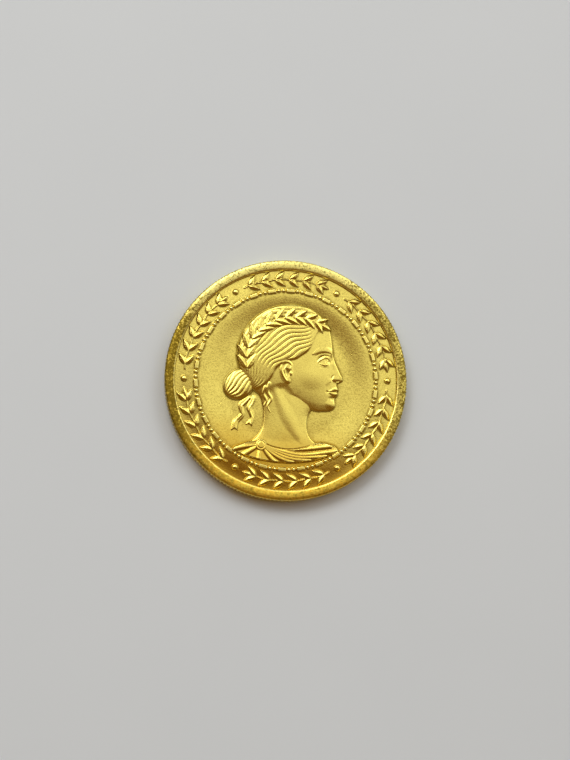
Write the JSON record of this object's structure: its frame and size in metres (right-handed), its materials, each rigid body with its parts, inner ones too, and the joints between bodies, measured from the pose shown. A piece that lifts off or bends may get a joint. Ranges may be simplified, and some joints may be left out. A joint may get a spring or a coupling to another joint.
{
  "type": "challenge coin",
  "caption": "Round gold-toned challenge coin with a raised rim, reeded edge, bead-and-bar border and struck relief, carried as a keepsake or shown on a stand.",
  "frame": {"origin": "centre of the coin's underside, on the plane it rests on", "axes": "+Z out of the front face, +Y towards the top of the front's design, +X to its right"},
  "size_m": [0.044, 0.044, 0.0032],
  "materials": {
    "rim_band": "gold-coloured, softly rounded, lightly tarnished and scuffed",
    "obverse_face": "gold-coloured, fine sandblasted matte with polished high points",
    "core_disc": "bare rolled brass",
    "reverse_face": "gold-coloured, fine sandblasted matte with polished high points"
  },
  "bodies": {
    "root": {"rim_band": "rim_band", "obverse_face": "obverse_face", "core_disc": "core_disc", "reverse_face": "reverse_face"}
  },
  "joints": []
}
